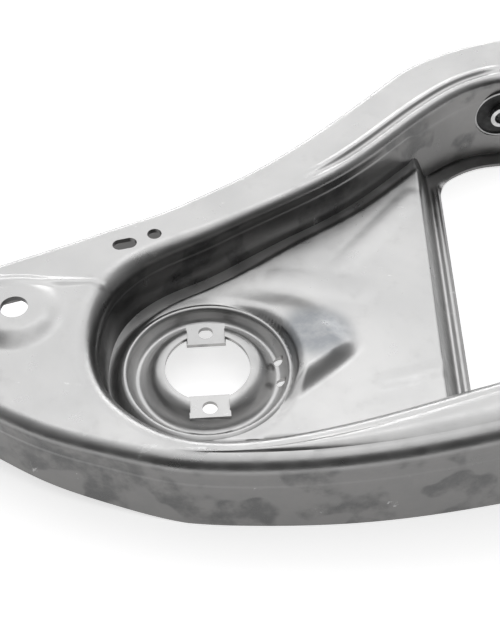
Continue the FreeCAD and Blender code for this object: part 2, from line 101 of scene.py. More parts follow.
# Points of the outer wall and the points of the inner wall that they face.
FACING = [(0, 60), (1, 59), (2, 58), (3, 56.4), (4, 54.6), (5, 52.7), (6, 51.3), (7, 50.3),
          (8.5, 49.6), (10, 48.8), (13, 47), (16, 45.7), (17, 45.3), (18, 44.5), (19, 43.7),
          (20, 43), (21, 42.3), (22, 41.6), (23, 41), (24, 40), (25, 39), (26, 38), (27, 37),
          (28, 36), (29, 35), (30, 34)]

# Fold radius and draft of the wall, by outline point.
FOLDS = [(0, 8, 2), (2, 12, 3), (5, 12, 3), (7, 10, 4), (12, 9, 4), (15, 9, 4),
         (20, 9, 3), (30, 9, 3),
         (32, 9, 2), (34, 7, 4), (40, 7, 4), (42, 9, 5), (45, 15, 6), (49, 15, 6), (52, 12, 4),
         (58, 12, 3), (60, 8, 2), (62, 5, 1.5), (64, 8, 2)]


def smooth(value):
    """Smooth step from 0 to 1."""
    value = np.clip(value, 0.0, 1.0)
    return value * value * (3 - 2 * value)


def bump(value):
    """Smooth hill of height 1 at 0 that ends at -1 and 1."""
    return np.clip(1 - value * value, 0.0, 1.0) ** 2


class ClosedCurve:
    """Smooth closed plan curve, read by fractional point number."""

    def __init__(self, points):
        self.points = np.array(points, float)
        count = len(points)
        step = np.roll(self.points, -1, axis=0) - self.points
        self.span = np.linalg.norm(step, axis=1)
        slope = step / self.span[:, None]
        matrix = np.zeros((count, count))
        for row in range(count):
            before = self.span[row - 1]
            matrix[row, row - 1] += before
            matrix[row, row] += 2 * (before + self.span[row])
            matrix[row, (row + 1) % count] += self.span[row]
        self.bend = np.linalg.solve(matrix, 6 * (slope - np.roll(slope, 1, axis=0)))

    def at(self, number):
        """Points and outward normals at these point numbers."""
        number = np.asarray(number, float)
        count = len(self.points)
        left = np.floor(number).astype(int)
        b = (number - left)[:, None]
        a = 1 - b
        left = left % count
        right = (left + 1) % count
        span = self.span[left][:, None]
        start, stop = self.points[left], self.points[right]
        bend_start, bend_stop = self.bend[left], self.bend[right]
        place = (a * start + b * stop
                 + ((a ** 3 - a) * bend_start + (b ** 3 - b) * bend_stop) * span ** 2 / 6)
        along = ((stop - start) / span
                 + ((3 * b * b - 1) * bend_stop - (3 * a * a - 1) * bend_start) * span / 6)
        along /= np.linalg.norm(along, axis=1)[:, None]
        return place, np.stack([-along[:, 1], along[:, 0]], axis=1)


CURVE = ClosedCurve(OUTLINE)
INNER_LINE = CURVE.at(np.linspace(FIRST_INNER, LAST_INNER, 1400))


def inner_distance(x, y):
    """Distance from the inner wall's foot: positive over the pocket and the gap."""
    line, normal = INNER_LINE
    flat_x, flat_y = np.ravel(x), np.ravel(y)
    result = np.empty(len(flat_x))
    for start in range(0, len(flat_x), 4000):
        part = slice(start, start + 4000)
        dx = flat_x[part, None] - line[None, :, 0]
        dy = flat_y[part, None] - line[None, :, 1]
        squared = dx * dx + dy * dy
        nearest = squared.argmin(axis=1)
        rows = np.arange(len(nearest))
        side = (dx[rows, nearest] * normal[nearest, 0]
                + dy[rows, nearest] * normal[nearest, 1])
        result[part] = np.sqrt(squared[rows, nearest]) * np.sign(side)
    return result.reshape(np.shape(x))


# ------------------------------------------------------------ mesh helpers


def mesh_object(name, vertices, faces):
    """Mesh object from vertices in millimetres."""
    mesh = bpy.data.meshes.new(name)
    mesh.from_pydata([tuple(float(c) * MM for c in v) for v in vertices], [],
                     [tuple(int(i) for i in face) for face in faces])
    mesh.update()
    item = bpy.data.objects.new(name, mesh)
    bpy.context.scene.collection.objects.link(item)
    return item


def grid_faces(rows, columns, closed=False):
    """Quads of a grid whose vertices run row by row."""
    last = columns if closed else columns - 1
    return [(r * columns + c, r * columns + (c + 1) % columns,
             (r + 1) * columns + (c + 1) % columns, (r + 1) * columns + c)
            for r in range(rows - 1) for c in range(last)]


def apply_modifiers(item):
    """Turn the modified shape into the object's own mesh."""
    graph = bpy.context.evaluated_depsgraph_get()
    graph.update()
    mesh = bpy.data.meshes.new_from_object(item.evaluated_get(graph))
    old = item.data
    item.modifiers.clear()
    item.data = mesh
    mesh.name = item.name
    bpy.data.meshes.remove(old)


def thicken(item, thickness):
    """Give a surface its sheet thickness, away from its normals."""
    modifier = item.modifiers.new("gauge", "SOLIDIFY")
    modifier.thickness = thickness * MM
    modifier.offset = -1.0
    modifier.use_even_offset = True
    apply_modifiers(item)


def combine(item, tools, operation):
    """Boolean the tools with an object, then delete them."""
    for tool in tools:
        modifier = item.modifiers.new(operation, "BOOLEAN")
        modifier.operation = operation
        modifier.solver = "MANIFOLD"
        modifier.object = tool
    apply_modifiers(item)
    for tool in tools:
        bpy.data.objects.remove(tool)


def finish_sheet(item, angle=38.0):
    """Smooth shading that keeps the cut edges crisp."""
    item.data.shade_smooth()
    item.data.set_sharp_from_angle(angle=math.radians(angle))


def drop_crumbs(item, fewest=100):
    """Delete the loose islands that a cut can leave, by their number of faces."""
    work = bmesh.new()
    work.from_mesh(item.data)
    unseen = set(work.verts)
    crumbs = []
    while unseen:
        island = set()
        queue = [unseen.pop()]
        while queue:
            vert = queue.pop()
            island.add(vert)
            for edge in vert.link_edges:
                other = edge.other_vert(vert)
                if other in unseen:
                    unseen.remove(other)
                    queue.append(other)
        faces = {face for vert in island for face in vert.link_faces}
        if len(faces) < fewest:
            crumbs += list(island)
    bmesh.ops.delete(work, geom=crumbs, context="VERTS")
    work.to_mesh(item.data)
    work.free()


def turned(name, profile, centre, axis="z", steps=128):
    """Closed solid of revolution from a loop of (radius, height) corners."""
    rows = []
    for radius, height in profile:
        for step in range(steps):
            angle = 2 * math.pi * step / steps
            ring = (radius * math.cos(angle), radius * math.sin(angle), height)
            if axis == "y":
                ring = (ring[0], height, -ring[1])
            rows.append(np.array(ring) + centre)
    faces = grid_faces(len(profile), steps, closed=True)
    count = len(profile)
    faces += [((count - 1) * steps + c, (count - 1) * steps + (c + 1) % steps,
               (c + 1) % steps, c) for c in range(steps)]
    item = mesh_object(name, rows, faces)
    outward(item)
    return item


def rod(name, radius, low, high, centre, axis="z", steps=96):
    """Plain solid cylinder, used as a cutter."""
    vertices = []
    for height in (low, high):
        for step in range(steps):
            angle = 2 * math.pi * step / steps
            ring = (radius * math.cos(angle), radius * math.sin(angle), height)
            if axis == "y":
                ring = (ring[0], height, -ring[1])
            vertices.append(np.array(ring) + centre)
    faces = grid_faces(2, steps, closed=True)
    faces += [tuple(reversed(range(steps))), tuple(range(steps, 2 * steps))]
    item = mesh_object(name, vertices, faces)
    outward(item)
    return item


def block(name, low, high):
    """Plain block between two corners, used as a cutter or blank."""
    vertices = [(x, y, z) for z in (low[2], high[2]) for x, y in
                ((low[0], low[1]), (high[0], low[1]), (high[0], high[1]), (low[0], high[1]))]
    faces = [(3, 2, 1, 0), (4, 5, 6, 7), (0, 1, 5, 4), (1, 2, 6, 5), (2, 3, 7, 6),
             (3, 0, 4, 7)]
    return mesh_object(name, vertices, faces)


def outward(item):
    """Turn a closed mesh's faces outwards."""
    mesh = item.data
    corners = np.array([v.co for v in mesh.vertices])
    volume = 0.0
    for face in mesh.polygons:
        ids = face.vertices
        for k in range(1, len(ids) - 1):
            volume += np.dot(corners[ids[0]],
                             np.cross(corners[ids[k]], corners[ids[k + 1]]))
    if volume < 0:
        mesh.flip_normals()


# ------------------------------------------------------------ upper shell

DECK_TOP = 40.0
DECK_SLOPE = 0.088
DECK_BLEND = 60.0
DECK_BLEND_X = 20.0
SHEET = 4.0
NEAR_LEG_CROWN = 2.0
BORE_RADIUS = 23.35
HOUSING_RADIUS = 25.05
COLLAR_HALF = 22.5
COLLAR_RADIUS = 27


def deck_level(x):
    """Deck over the pocket, then rising towards the pivots."""
    run = np.clip(x - (DECK_BLEND_X - DECK_BLEND), 0, None)
    bend = np.clip(run, 0, 2 * DECK_BLEND)
    return (DECK_TOP + DECK_SLOPE * bend ** 2 / (4 * DECK_BLEND)
            + DECK_SLOPE * (run - bend))


def segment_distance(x, y, start, stop):
    """Distance to a segment, and how far along it the nearest point lies."""
    start, stop = np.array(start, float), np.array(stop, float)
    along = stop - start
    share = ((x - start[0]) * along[0] + (y - start[1]) * along[1]) / along.dot(along)
    share = np.clip(share, 0, 1)
    return np.hypot(x - start[0] - share * along[0], y - start[1] - share * along[1]), share


def deck_features(x, y):
    """Boss, bead and the stepped inner edge of the far leg."""
    height = 5.0 * smooth((38 - np.hypot(x - SWAY[0], y - SWAY[1])) / 18)
    distance, share = segment_distance(x, y, (-164, 65), (-76, 60))
    width = 9.5 - 6.0 * share
    height = height + (3.2 - 2.4 * share) * bump(distance / width)
    inside = -inner_distance(x, y)
    far_leg = smooth((x - 70) / 60) * smooth((y - 60) / 40) * smooth((275 - x) / 30)
    step = 1.2 * bump((inside - 20.5) / 4) - 1.3 * bump((inside - 15) / 4)
    return height + far_leg * step


def foot_level(place, number):
    """Height of the wall's lower edge."""
    x, y = place[:, 0], place[:, 1]
    outer = SKIRT_LOW + 31 * np.clip((-20 - x) / 250, 0, None)
    far = smooth((y - 262) / 20) * 13 * np.clip((x - 120) / 120, 0, 1)
    outer = outer + far
    inner = np.minimum(strip_level(x) - 1.5, 40)
    inner = inner + (LIP_TOP + 2.0 - inner) * smooth((x - 180) / 12)
    inner = inner + (SKIRT_LOW - LIP_TOP - 2.0) * smooth((x - 285) / 6)
    is_inner = (number >= FIRST_INNER) & (number <= LAST_INNER)
    return np.where(is_inner, inner, outer)


def station_numbers(count):
    """Evenly spaced stations along the channel as pairs of outline point numbers."""
    pairs = np.array(FACING, float)
    fine = np.linspace(0, LAST_OUTER, 3000)
    facing = np.interp(fine, pairs[:, 0], pairs[:, 1])
    length = 0
    for numbers in (fine, facing):
        place = CURVE.at(numbers)[0]
        length = length + np.linalg.norm(np.diff(place, axis=0), axis=1)
    travelled = np.concatenate([[0], np.cumsum(length)])
    outer = np.interp(np.linspace(0, travelled[-1], count), travelled, fine)
    return outer, np.interp(outer, pairs[:, 0], pairs[:, 1])


def fold_at(number):
    """Fold radius and draft at outline point numbers."""
    table = np.array(FOLDS, float)
    return (np.interp(number, table[:, 0], table[:, 1]),
            np.interp(number, table[:, 0], table[:, 2]))


def core_edge(number):
    """Where the flat of the deck meets the fold."""
    place, normal = CURVE.at(number)
    radius, draft = fold_at(number)
    return place - normal * (radius + draft)[:, None]


def deck_grid(rows, columns):
    """Plan places of the deck's flat, rows along the channel and columns across."""
    outer, inner = station_numbers(rows)
    across = np.linspace(0, 1, columns)
    left, right = core_edge(outer), core_edge(inner)
    grid = left[:, None] * (1 - across)[None, :, None] + right[:, None] * across[None, :, None]
    rear_numbers = 64 - 4 * across
    front_numbers = LAST_OUTER + 4 * across
    reach = np.linspace(0, 1, rows)
    for numbers, row, weight in ((rear_numbers, 0, np.clip(1 - reach / 0.05, 0, 1) ** 2),
                                 (front_numbers, -1,
                                  np.clip(1 - (1 - reach) / 0.05, 0, 1) ** 2)):
        gap = core_edge(numbers) - grid[row]
        grid = grid + weight[:, None, None] * gap[None]
    rim = [(r, 0, outer[r]) for r in range(rows)]
    rim += [(rows - 1, c, front_numbers[c]) for c in range(1, columns)]
    rim += [(r, columns - 1, inner[r]) for r in range(rows - 2, -1, -1)]
    rim += [(0, c, rear_numbers[c]) for c in range(columns - 2, 0, -1)]
    return grid, rim


def wall_profile(radius, draft, height):
    """Rows of (outward, down) shares for each rim point, fold first and then wall."""
    tilt = np.zeros_like(radius)
    for _ in range(12):
        reach = radius + draft - radius * np.cos(tilt)
        tilt = np.arctan2(reach, height - radius * (1 - np.sin(tilt)))
    rows = []
    for share in np.linspace(0, 1, 9)[1:]:
        angle = share * (math.pi / 2 - tilt)
        rows.append((radius * np.sin(angle), radius * (1 - np.cos(angle))))
    top_out, top_down = rows[-1]
    draw_line = 0.2
    for share in (0.06, 0.12, 0.17, 0.19, 0.21, 0.24, 0.32, 0.42, 0.54, 0.66, 0.78, 0.9, 1.0):
        out = top_out + share * (radius + draft - top_out)
        out = out - 0.45 * (1 - smooth((share - draw_line) / 0.04 + 0.5))
        rows.append((np.maximum(out, top_out - 0.2), top_down + share * (height - top_down)))
    return rows


def build_shell():
    """Drawn upper half of the arm, with its holes."""
    row_count, column_count = 390, 61
    grid, rim = deck_grid(row_count, column_count)
    x, y = grid[..., 0], grid[..., 1]
    level = deck_level(x) + deck_features(x, y)
    near_leg = smooth((x + 40) / 90) * smooth((-20 - y) / 40)
    across = np.linspace(0, 1, column_count)[None, :]
    near_leg = near_leg * smooth((310 - x) / 90)
    level = level + near_leg * NEAR_LEG_CROWN * 4 * across * (1 - across)
    vertices = np.dstack([x, y, level]).reshape(-1, 3)
    faces = grid_faces(row_count, column_count)

    ids = np.array([r * column_count + c for r, c, _ in rim])
    numbers = np.array([n for _, _, n in rim])
    place, normal = CURVE.at(numbers)
    radius, draft = fold_at(numbers)
    start = vertices[ids]
    height = start[:, 2] - foot_level(place, numbers)
    previous = ids
    blocks = [vertices]
    total = len(vertices)
    for out, down in wall_profile(radius, draft, height):
        row = np.column_stack([start[:, :2] + normal * out[:, None], start[:, 2] - down])
        blocks.append(row)
        current = np.arange(total, total + len(row))
        total += len(row)
        size = len(row)
        faces += [(previous[k], previous[(k + 1) % size],
                   current[(k + 1) % size], current[k]) for k in range(size)]
        previous = current
    shell = mesh_object("drawn_shell", np.vstack(blocks), faces)
    if shell.data.polygons[0].normal.z < 0:
        shell.data.flip_normals()
    level_normals(shell)
    thicken(shell, SHEET)
    cut_shell(shell)
    drop_crumbs(shell)
    finish_sheet(shell)
    return shell


def level_normals(item):
    """Make every face of an open sheet agree with its neighbours, deck upwards."""
    work = bmesh.new()
    work.from_mesh(item.data)
    bmesh.ops.recalc_face_normals(work, faces=work.faces)
    if max(work.faces, key=lambda f: f.calc_center_median().z).normal.z < 0:
        bmesh.ops.reverse_faces(work, faces=work.faces)
    work.to_mesh(item.data)
    work.free()


def slot_cutter():
    """Round-ended cutter for the bump stop slot."""
    along = Vector((3.75, 0.75))
    turn = math.atan2(along.y, along.x)
    vertices = []
    for height in (0, 80):
        for end in (1, -1):
            for angle in np.linspace(-math.pi / 2, math.pi / 2, 25):
                angle += turn + (0 if end > 0 else math.pi)
                vertices.append((STOP_SLOT[0] + end * along.x + 5.5 * math.cos(angle),
                                 STOP_SLOT[1] + end * along.y + 5.5 * math.sin(angle),
                                 height))
    faces = grid_faces(2, 50, closed=True)
    faces += [tuple(reversed(range(50))), tuple(range(50, 100))]
    item = mesh_object("cut_slot", vertices, faces)
    outward(item)
    return item


def cut_shell(shell):
    """Sway bar hole, bump stop slot and hole, ball joint hole and pivot bores."""
    tools = [rod("cut_sway", 10, 0, 80, (SWAY[0], SWAY[1], 0)),
             rod("cut_stop", 5.5, 0, 80, (STOP_HOLE[0], STOP_HOLE[1], 0)),
             rod("cut_ball", HOUSING_RADIUS, 0, 80, (BALL[0], BALL[1], 0))]
    tools.append(slot_cutter())
    for name in ("front_pivot", "rear_pivot"):
        place = mount_mm(name)
        tools.append(rod(f"cut_{name}", BORE_RADIUS, -45, 45, place, "y"))
    combine(shell, tools, "DIFFERENCE")


# ------------------------------------------------------------ lower plate

LIP_TOP = -19.5
LIP_EDGE_X = 196.0
EDGE_SLANT = math.radians(4.75)
SEAT_EDGE = 62.0
PLATE_SHEET = 3.0
STEP_A = (109.0, 3.0)
STEP_B = (56.0, -33.0)


def field_level(x):
    """Field of the plate, rising gently inboard."""
    return 4 + 0.07 * np.clip(x, 0, None)


def strip_level(x):
    """Border strip at the foot of the pocket wall."""
    return field_level(x) - 8 + 4 * smooth((x - 5) / 75)


def edge_axes(x, y):
    """Distance beyond the plate's slanted end edge, and distance along it."""
    u = (x - LIP_EDGE_X) * math.cos(EDGE_SLANT) - y * math.sin(EDGE_SLANT)
    v = (x - LIP_EDGE_X) * math.sin(EDGE_SLANT) + y * math.cos(EDGE_SLANT)
    return u, v


def ramp_height(x, y):
    """Rise under the coil's last turn, ending in a steep step."""
    angle = np.degrees(np.arctan2(y, x))
    radius = np.hypot(x, y)
    edge = np.interp(angle, [-40, -20, 0, 5, 22, 43, 67, 90],
                     [66, 92, 110, 110, 103, 92, 74, 62])
    lift = 8.0 * smooth((95 - angle) / 95) * smooth((angle + 60) / 20)
    side = smooth((edge + 9 - radius) / 30)
    root = smooth((radius - 61.5) / 4)
    along = np.array(STEP_A) - np.array(STEP_B)
    along = along / np.linalg.norm(along)
    ahead = (y - STEP_B[1]) * along[0] - (x - STEP_B[0]) * along[1]
    return lift * side * root * smooth((ahead + 6) / 16)


def plate_level(x, y):
    """Height of the pressed plate's upper face."""
    inside = inner_distance(x, y)
    radius = np.hypot(x, y)
    beyond = edge_axes(x, y)[0]
    width = 12 - 4 * smooth((x - 30) / 60)
    level = strip_level(x) + (field_level(x) - strip_level(x)) * smooth((inside - width) / 4.5)
    level = 4.4 + (level - 4.4) * smooth((radius - SEAT_EDGE) / 10)
    level = level + ramp_height(x, y)
    for start, stop, lift, spread in (((112, 92), (176, 160), 0.9, 13),
                                      ((125, -27), (170, -20), 0.8, 10),
                                      ((60, 82), (120, 62), 0.7, 16)):
        distance, _ = segment_distance(x, y, start, stop)
        level = level + lift * bump(distance / spread)
    drop = smooth((beyond + 27) / 18)
    level = level + (LIP_TOP - level) * drop
    lip = smooth((beyond + 10) / 3) * smooth((inside - 12) / 6)
    beads = (1.3 * bump((beyond + 6.6) / 2.0) + 1.0 * bump((beyond + 2.4) / 1.8)
             - 1.5 * smooth((beyond + 1.6) / 1.6))
    return level + lip * beads


def plate_inside(x, y):
    """Positive on the plate, zero on its edge, in plan."""
    inside = inner_distance(x, y)
    beyond = edge_axes(x, y)[0]
    corner, strip = 12.0, 13.0
    open_x = np.clip(corner - beyond, 0, None)
    open_y = np.clip(corner - (inside - strip), 0, None)
    gap = corner - np.hypot(open_x, open_y)
    edge = np.minimum(-gap, inside + 9)
    edge = np.minimum(edge, 288 - x)
    return np.minimum(edge, np.hypot(x, y) - (SEAT_EDGE - 1.2))


def fine_steps(low, fine_low, fine_high, high, fine, coarse):
    """Grid lines that are closer together between two values."""
    return np.concatenate([np.arange(low, fine_low, coarse),
                           np.arange(fine_low, fine_high, fine),
                           np.arange(fine_high, high, coarse)])


def build_plate():
    """Pressed plate round the spring seat, down to its end lip."""
    turn_cos, turn_sin = math.cos(EDGE_SLANT), math.sin(EDGE_SLANT)
    us = fine_steps(-290, -140, 3, 110, 1.35, 2.4)
    vs = fine_steps(-110, -64, 82, 275, 1.5, 2.2)
    u, v = np.meshgrid(us, vs, indexing="ij")
    x = LIP_EDGE_X + u * turn_cos + v * turn_sin
    y = v * turn_cos - u * turn_sin
    measure = plate_inside(x, y)
    middle = (measure[:-1, :-1] + measure[1:, :-1] + measure[1:, 1:] + measure[:-1, 1:]) / 4
    keep = np.argwhere(middle > 0)
    columns = len(vs)
    faces = [(r * columns + c, (r + 1) * columns + c,
              (r + 1) * columns + c + 1, r * columns + c + 1) for r, c in keep]
    used, packed = np.unique(np.array(faces), return_inverse=True)
    faces = packed.reshape(-1, 4)
    px, py = x.ravel()[used], y.ravel()[used]
    edge_count = np.bincount(faces.ravel(), minlength=len(used))
    rim = edge_count < 4
    probe = 0.05
    for _ in range(4):
        rx, ry = px[rim], py[rim]
        value = plate_inside(rx, ry)
        slope_x = (plate_inside(rx + probe, ry) - value) / probe
        slope_y = (plate_inside(rx, ry + probe) - value) / probe
        scale = value / np.clip(slope_x ** 2 + slope_y ** 2, 0.3, None)
        move = np.clip(scale, -1.6, 1.6)
        px[rim] = rx - move * slope_x
        py[rim] = ry - move * slope_y
    level = plate_level(px, py)
    plate = mesh_object("pressed_plate", np.column_stack([px, py, level]), faces)
    level_normals(plate)
    thicken(plate, PLATE_SHEET)
    finish_sheet(plate, 50)
    return plate


# Radius and height of the seat's upper face, from the window outwards.
SEAT_PROFILE = [(22, 7.5), (31, 7.5), (34, 7.4), (37, 6.6), (40, 4.9), (42.5, 2.6),
                (45, -0.4), (47, -2.8), (49, -4.4), (51, -5.0), (53, -4.5), (55, -2.6),
                (56.6, 0.2), (57.8, 2.9), (59, 4.7), (60.4, 5.4), (61.8, 5.1), (63, 4.6),
                (63.8, 4.1)]
PAD_HALF = 14.0
PAD_TIP = 24.0
PAD_TOP = 4.0


def soften(points, per_span=5):
    """Denser run through the same points, by Catmull-Rom spans."""
    knots = np.array([points[0]] + points + [points[-1]], float)
    run = []
    for k in range(1, len(knots) - 2):
        p0, p1, p2, p3 = knots[k - 1:k + 3]
        for share in np.linspace(0, 1, per_span, endpoint=False):
            run.append(0.5 * (2 * p1 + (p2 - p0) * share
                              + (2 * p0 - 5 * p1 + 4 * p2 - p3) * share ** 2
                              + (3 * p1 - p0 - 3 * p2 + p3) * share ** 3))
    return run + [knots[-2]]


def build_seat():
    """Spring seat: lip, groove, dome, shock window, bolt pads and drain holes."""
    run = soften(SEAT_PROFILE)
    steps = 224
    vertices = [(r * math.cos(2 * math.pi * k / steps), r * math.sin(2 * math.pi * k / steps),
                 z) for r, z in run for k in range(steps)]
    seat = mesh_object("spring_seat", vertices, grid_faces(len(run), steps, closed=True))
    level_normals(seat)
    thicken(seat, PLATE_SHEET)
    cutters = [rod("cut_window", 31, -30, 30, (0, 0, 0), steps=160)]
    pads = []
    for side in (1, -1):
        inner, outer = sorted((side * (PAD_TIP - 4), side * 43))
        cutters.append(block(f"cut_pad_{side}", (-PAD_HALF, inner, PAD_TOP),
                             (PAD_HALF, outer, 20)))
        inner, outer = sorted((side * PAD_TIP, side * 43.5))
        pads.append(block(f"pad_{side}", (-PAD_HALF - 0.6, inner, PAD_TOP - 3.2),
                          (PAD_HALF + 0.6, outer, PAD_TOP)))
    combine(seat, cutters, "DIFFERENCE")
    combine(seat, pads, "UNION")
    half = MOUNTS["shock_mount"]["dims"]["spacing_y_mm"] / 2
    hole = MOUNTS["shock_mount"]["dims"]["hole_r_mm"]
    holes = [rod(f"cut_bolt_{side}", hole, -30, 30, (0, side * half, 0)) for side in (1, -1)]
    holes += [rod(f"cut_drain_{k}", 3.5, -30, 30, (x, y, 0), steps=40)
              for k, (x, y) in enumerate(((52.5, 10), (53, -10)))]
    combine(seat, holes, "DIFFERENCE")
    finish_sheet(seat, 40)
    return seat


# ------------------------------------------------------------ collars and boot


def build_collars():
    """Collars inside the legs and the flange that holds the ball joint."""
    items = []
    for name in ("front_pivot", "rear_pivot"):
        profile = [(BORE_RADIUS, -COLLAR_HALF), (BORE_RADIUS, COLLAR_HALF), (25.5, 22.9),
                   (COLLAR_RADIUS, 21.5), (COLLAR_RADIUS, -21.5), (25.5, -22.9)]
        items.append(turned(f"{name}_collar", profile, mount_mm(name), "y"))
    flange = [(HOUSING_RADIUS, 20), (HOUSING_RADIUS, 37), (29, 37), (29, 21.5), (27.6, 20)]
    items.append(turned("ball_joint_collar", flange, (BALL[0], BALL[1], 0)))
    for item in items:
        finish_sheet(item, 40)
    return items


BOOT_OUTSIDE = [(24.5, 8.3), (24.6, 11.0), (26.2, 12.6), (27.4, 14.2), (27.3, 16.6),
                (25.0, 18.2), (21.8, 19.4), (21.2, 20.6), (22.0, 22.2), (20.6, 24.2),
                (17.0, 25.6), (12.6, 26.6), (11.2, 27.6), (11.0, 29.2), (11.0, 31)]
BOOT_SPLIT = 7


def boot_part(name, outside, inset):
    """One half of the boot as a closed rubber tube."""
    outer = [tuple(p) for p in soften(outside, 4)]
    inner = [(radius - inset, height) for radius, height in reversed(outer)]
    item = turned(name, outer + inner, BALL, steps=96)
    finish_sheet(item, 60)
    return item


def build_boot():
    """Dust boot in two joined halves."""
    lower = boot_part("boot_lower", BOOT_OUTSIDE[:BOOT_SPLIT + 1], 1.5)
    upper = boot_part("boot_upper", BOOT_OUTSIDE[BOOT_SPLIT:], 1.5)
    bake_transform(lower)
    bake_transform(upper)
    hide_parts("dust_boot")
    return [lower, upper]


# ------------------------------------------------------------ materials


class Nodes:
    """Short way to build one material's node tree."""

    def __init__(self, name):
        self.material = bpy.data.materials.new(name)
        self.material.use_nodes = True
        self.tree = self.material.node_tree
        self.shader = self.tree.nodes["Principled BSDF"]
        self.coordinates = self.tree.nodes.new("ShaderNodeTexCoord")

    def add(self, kind, **inputs):
        node = self.tree.nodes.new(kind)
        for key, value in inputs.items():
            self.put(node, key.replace("_", " "), value)
        return node

    def put(self, node, key, value):
        socket = node.inputs[int(key)] if key.isdigit() else node.inputs[key]
        if isinstance(value, bpy.types.NodeSocket):
            self.tree.links.new(value, socket)
        else:
            socket.default_value = value

    def noise(self, scale, detail=4.0, rough=0.55, stretch=None):
        vector = self.coordinates.outputs["Object"]
        if stretch:
            mapping = self.add("ShaderNodeMapping", Vector=vector, Scale=stretch)
            vector = mapping.outputs["Vector"]
        node = self.add("ShaderNodeTexNoise", Vector=vector, Scale=scale, Detail=detail,
                        Roughness=rough)
        return node.outputs["Fac"]

    def spread(self, value, low, high, to_low=0.0, to_high=1.0):
        node = self.add("ShaderNodeMapRange", Value=value)
        for key, number in (("From Min", low), ("From Max", high), ("To Min", to_low),
                            ("To Max", to_high)):
            node.inputs[key].default_value = number
        node.interpolation_type = "SMOOTHSTEP"
        return node.outputs["Result"]

    def math(self, operation, first, second=0.0):
        node = self.tree.nodes.new("ShaderNodeMath")
        node.operation = operation
        self.put(node, "0", first)
        self.put(node, "1", second)
        return node.outputs[0]

    def mix(self, factor, first, second):
        node = self.tree.nodes.new("ShaderNodeMix")
        node.data_type = "RGBA"
        for socket, value in ((node.inputs[0], factor), (node.inputs[6], first),
                              (node.inputs[7], second)):
            if isinstance(value, bpy.types.NodeSocket):
                self.tree.links.new(value, socket)
            else:
                socket.default_value = value
        return node.outputs[2]

    def bumps(self, height, strength, distance):
        node = self.add("ShaderNodeBump", Height=height, Strength=strength,
                        Distance=distance)
        self.put(self.shader, "Normal", node.outputs["Normal"])


def grey(value, warm=0.0):
    """Grey colour, warmed by a small share."""
    return (value * (1 + warm), value, value * (1 - warm), 1.0)


def burnished_patch(n, tone, place, cloud):
    """Bluish rubbed patch round one place, in metres, with a mottled edge."""
    reach = n.add("ShaderNodeVectorMath")
    reach.operation = "DISTANCE"
    n.tree.links.new(n.coordinates.outputs["Object"], reach.inputs[0])
    reach.inputs[1].default_value = place
    near = n.spread(reach.outputs["Value"], 0.034, 0.016)
    share = n.math("MULTIPLY", near, n.spread(cloud, 0.25, 0.6, 0.45, 0.85))
    return n.mix(share, tone, (0.25, 0.265, 0.285, 1.0))


def drawn_steel(name, flat=0.52, side=0.16, inboard_shade=0.75, burnish=None):
    """Bare drawn sheet: satin flats, walls darkened by painted shade, mottling and scuffs."""
    n = Nodes(name)
    facing = n.add("ShaderNodeSeparateXYZ", Vector=n.coordinates.outputs["Normal"])
    upward = n.spread(facing.outputs["Z"], 0.12, 0.8)
    broad = n.noise(14.0, 3.0)
    cloud = n.noise(55.0, 5.0, 0.6)
    grain = n.noise(900.0, 3.0, 0.7)
    patches = n.spread(n.noise(26.0, 2.0, 0.4), 0.46, 0.52)
    # Wall tone, made darker by side: painted shade, with mottled patches.
    wall = n.mix(patches, grey(side * 0.78), grey(side * 1.22, 0.01))
    wall = n.mix(n.spread(cloud, 0.35, 0.7), wall, grey(side * 1.35, 0.015))
    flat_tone = n.mix(n.spread(broad, 0.3, 0.7), grey(flat * 0.93), grey(flat * 1.05, 0.004))
    flat_tone = n.mix(n.spread(cloud, 0.55, 0.75, 0, 0.35), flat_tone, grey(flat * 0.84))
    # Painted shade: faces that turn away from upwards take the darker wall tone.
    tone = n.mix(upward, wall, flat_tone)
    # Painted shade: faces turned inboard, towards +x, are darkened further, by the share inboard_shade.
    inboard = n.spread(facing.outputs["X"], 0.45, 0.9)
    tone = n.mix(n.math("MULTIPLY", inboard, inboard_shade), tone, grey(side * 0.3))
    if burnish:
        tone = burnished_patch(n, tone, burnish, cloud)
    scuff = n.math("MULTIPLY", n.spread(n.noise(38.0, 6.0, 0.65, (1.0, 2.4, 1.0)), 0.66, 0.72),
                   n.spread(n.noise(420.0, 4.0, 0.7, (1.0, 3.0, 1.0)), 0.4, 0.6))
    tone = n.mix(n.math("MULTIPLY", scuff, 0.55), tone, grey(0.92))
    n.put(n.shader, "Base Color", tone)
    n.shader.inputs["Metallic"].default_value = 1.0
    rough = n.spread(cloud, 0.3, 0.75, 0.27, 0.4)
    rough = n.math("ADD", rough, n.math("MULTIPLY", scuff, 0.18))
    n.put(n.shader, "Roughness", rough)
    n.bumps(n.math("ADD", grain, n.math("MULTIPLY", cloud, 1.5)), 0.12, 0.0004)
    return n.material


def plain_metal(name, tone, rough, warm=0.0, wear=0.25, scale=160.0, turned_marks=False):
    """Turned, ground or plated metal with fine variation."""
    n = Nodes(name)
    cloud = n.noise(scale, 4.0)
    tint = n.mix(n.spread(cloud, 0.35, 0.68), grey(tone * (1 - wear), warm),
                 grey(tone * (1 + wear * 0.5), warm))
    n.put(n.shader, "Base Color", tint)
    n.shader.inputs["Metallic"].default_value = 1.0
    n.put(n.shader, "Roughness", n.spread(cloud, 0.3, 0.7, rough * 0.8, rough * 1.25))
    stretch = (0.05, 0.05, 6.0) if turned_marks else None
    n.bumps(n.noise(700.0, 3.0, 0.6, stretch), 0.15, 0.0003)
    return n.material


